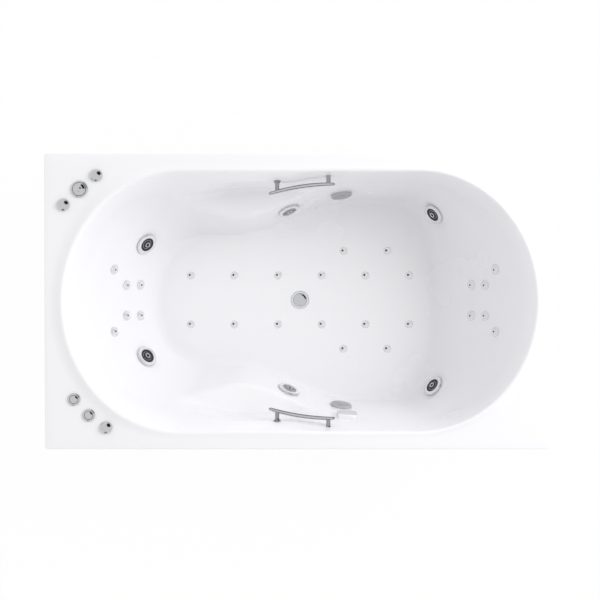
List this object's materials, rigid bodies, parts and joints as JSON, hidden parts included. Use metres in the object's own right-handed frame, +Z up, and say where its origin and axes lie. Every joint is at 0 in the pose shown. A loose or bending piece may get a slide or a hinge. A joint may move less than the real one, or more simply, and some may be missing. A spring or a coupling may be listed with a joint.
{
  "type": "jetted bathtub",
  "caption": "Oblong double-ended jetted bathtub with armrests, adjustable water jets, air jets, suction and overflow covers, rim controls, grab bars, pump, blower and support frame.",
  "frame": {"origin": "on the floor, under the middle of the rim rectangle", "axes": "+X along the tub towards the deep wide end without armrests, +Y towards the side opposite the overflow cover, +Z up"},
  "size_m": [1.9, 1.1, 0.627],
  "materials": {
    "acrylic": "gloss",
    "black_plastic": "matte",
    "chrome": "polished",
    "grey_plastic": "gloss",
    "jet_trim": "gloss",
    "motor_alloy": "cast",
    "painted_steel": "satin",
    "rubber": "matte",
    "timber": "sealed plywood",
    "white_plastic": "satin",
    "zinc_steel": "zinc plated"
  },
  "bodies": {
    "tub": {"air_rails": "white_plastic", "air_supply_pipe": "white_plastic", "air_valve_bodies": "white_plastic", "back_jet_manifolds": "white_plastic", "back_jets": "grey_plastic", "base_boards": "timber", "blower_housing": "black_plastic", "button_bodies": "chrome", "control_box": "black_plastic", "drain_flange": "chrome", "drain_gasket": "rubber", "floor_jet_bodies": "white_plastic", "floor_jet_caps": "grey_plastic", "foot_lock_nuts": "zinc_steel", "foot_pads": "rubber", "foot_screws": "zinc_steel", "frame_cross_rails": "painted_steel", "frame_posts": "painted_steel", "frame_side_rails": "painted_steel", "handle_bars": "chrome", "handle_posts": "chrome", "jet_bodies": "white_plastic", "overflow_body": "white_plastic", "overflow_cover": "acrylic", "overflow_pipe": "white_plastic", "pressure_pipes": "white_plastic", "pump_foot": "painted_steel", "pump_motor": "motor_alloy", "pump_volute": "black_plastic", "rim_battens": "timber", "selector_body": "chrome", "suction_bodies": "white_plastic", "suction_covers": "grey_plastic", "suction_pipes": "white_plastic", "tub_shell": "acrylic", "waste_body": "white_plastic", "waste_trap": "white_plastic"},
    "air_knob_1": {"air_knob_1": "chrome"},
    "air_knob_2": {"air_knob_2": "chrome"},
    "air_knob_3": {"air_knob_3": "chrome"},
    "blower_button": {"blower_button": "chrome"},
    "blower_rotor": {"blower_rotor": "black_plastic"},
    "drain_plug": {"drain_plug": "chrome"},
    "jet_nozzle_1": {"jet_nozzle_1": "chrome"},
    "jet_nozzle_2": {"jet_nozzle_2": "chrome"},
    "jet_nozzle_3": {"jet_nozzle_3": "chrome"},
    "jet_nozzle_4": {"jet_nozzle_4": "chrome"},
    "jet_nozzle_5": {"jet_nozzle_5": "chrome"},
    "jet_nozzle_6": {"jet_nozzle_6": "chrome"},
    "jet_ring_1": {"jet_ring_1": "jet_trim"},
    "jet_ring_2": {"jet_ring_2": "jet_trim"},
    "jet_ring_3": {"jet_ring_3": "jet_trim"},
    "jet_ring_4": {"jet_ring_4": "jet_trim"},
    "jet_ring_5": {"jet_ring_5": "jet_trim"},
    "jet_ring_6": {"jet_ring_6": "jet_trim"},
    "pump_button": {"pump_button": "chrome"},
    "pump_rotor": {"pump_rotor": "zinc_steel"},
    "selector_knob": {"selector_knob": "chrome"}
  },
  "joints": [
    {"name": "jet_ring_1_turn", "type": "hinge", "parent": "tub", "child": "jet_ring_1", "pos_m": [-0.61446, 0.226, 0.267], "axis": [0.6256, -0.4813, 0.614], "range_deg": [-60, 60]},
    {"name": "jet_nozzle_1_tilt", "type": "hinge", "parent": "jet_ring_1", "child": "jet_nozzle_1", "pos_m": [-0.61446, 0.226, 0.267], "axis": [0.6098, 0.7925, 0], "range_deg": [-12, 12]},
    {"name": "jet_ring_2_turn", "type": "hinge", "parent": "tub", "child": "jet_ring_2", "pos_m": [-0.61446, -0.226, 0.267], "axis": [0.6256, 0.4813, 0.614], "range_deg": [-60, 60]},
    {"name": "jet_nozzle_2_tilt", "type": "hinge", "parent": "jet_ring_2", "child": "jet_nozzle_2", "pos_m": [-0.61446, -0.226, 0.267], "axis": [-0.6098, 0.7925, 0], "range_deg": [-12, 12]},
    {"name": "jet_ring_3_turn", "type": "hinge", "parent": "tub", "child": "jet_ring_3", "pos_m": [-0.04513, 0.36064, 0.258], "axis": [0.3658, -0.8778, 0.3092], "range_deg": [-60, 60]},
    {"name": "jet_nozzle_3_tilt", "type": "hinge", "parent": "jet_ring_3", "child": "jet_nozzle_3", "pos_m": [-0.04513, 0.36064, 0.258], "axis": [0.9231, 0.3846, 0], "range_deg": [-12, 12]},
    {"name": "jet_ring_4_turn", "type": "hinge", "parent": "tub", "child": "jet_ring_4", "pos_m": [-0.04513, -0.36064, 0.258], "axis": [0.3658, 0.8778, 0.3092], "range_deg": [-60, 60]},
    {"name": "jet_nozzle_4_tilt", "type": "hinge", "parent": "jet_ring_4", "child": "jet_nozzle_4", "pos_m": [-0.04513, -0.36064, 0.258], "axis": [-0.9231, 0.3846, 0], "range_deg": [-12, 12]},
    {"name": "jet_ring_5_turn", "type": "hinge", "parent": "tub", "child": "jet_ring_5", "pos_m": [0.54049, 0.34884, 0.216], "axis": [-0.6888, -0.5528, 0.469], "range_deg": [-60, 60]},
    {"name": "jet_nozzle_5_tilt", "type": "hinge", "parent": "jet_ring_5", "child": "jet_nozzle_5", "pos_m": [0.54049, 0.34884, 0.216], "axis": [0.6259, -0.7799, 0], "range_deg": [-12, 12]},
    {"name": "jet_ring_6_turn", "type": "hinge", "parent": "tub", "child": "jet_ring_6", "pos_m": [0.54049, -0.34884, 0.216], "axis": [-0.6888, 0.5528, 0.469], "range_deg": [-60, 60]},
    {"name": "jet_nozzle_6_tilt", "type": "hinge", "parent": "jet_ring_6", "child": "jet_nozzle_6", "pos_m": [0.54049, -0.34884, 0.216], "axis": [-0.6259, -0.7799, 0], "range_deg": [-12, 12]},
    {"name": "air_knob_1_turn", "type": "hinge", "parent": "tub", "child": "air_knob_1", "pos_m": [-0.757, 0.468, 0.606], "axis": [0, 0, 1], "range_deg": [0, 180]},
    {"name": "air_knob_2_turn", "type": "hinge", "parent": "tub", "child": "air_knob_2", "pos_m": [-0.879, 0.359, 0.606], "axis": [0, 0, 1], "range_deg": [0, 180]},
    {"name": "air_knob_3_turn", "type": "hinge", "parent": "tub", "child": "air_knob_3", "pos_m": [-0.722, -0.469, 0.606], "axis": [0, 0, 1], "range_deg": [0, 180]},
    {"name": "selector_turn", "type": "hinge", "parent": "tub", "child": "selector_knob", "pos_m": [-0.819, 0.417, 0.606], "axis": [0, 0, 1], "range_deg": [0, 90]},
    {"name": "pump_button_press", "type": "slide", "parent": "tub", "child": "pump_button", "axis": [0, 0, 1], "range_m": [-0.004, 0], "stiffness_N_per_m": 600},
    {"name": "blower_button_press", "type": "slide", "parent": "tub", "child": "blower_button", "axis": [0, 0, 1], "range_m": [-0.004, 0], "stiffness_N_per_m": 600},
    {"name": "drain_plug_lift", "type": "slide", "parent": "tub", "child": "drain_plug", "axis": [0, 0, 1], "range_m": [0, 0.009]},
    {"name": "pump_rotor_spin", "type": "hinge", "parent": "tub", "child": "pump_rotor", "pos_m": [-0.836, -0.07, 0.202], "axis": [0, 1, 0], "continuous": true},
    {"name": "blower_rotor_spin", "type": "hinge", "parent": "tub", "child": "blower_rotor", "pos_m": [0.826, 0, 0.125], "axis": [0, 0, 1], "continuous": true}
  ]
}
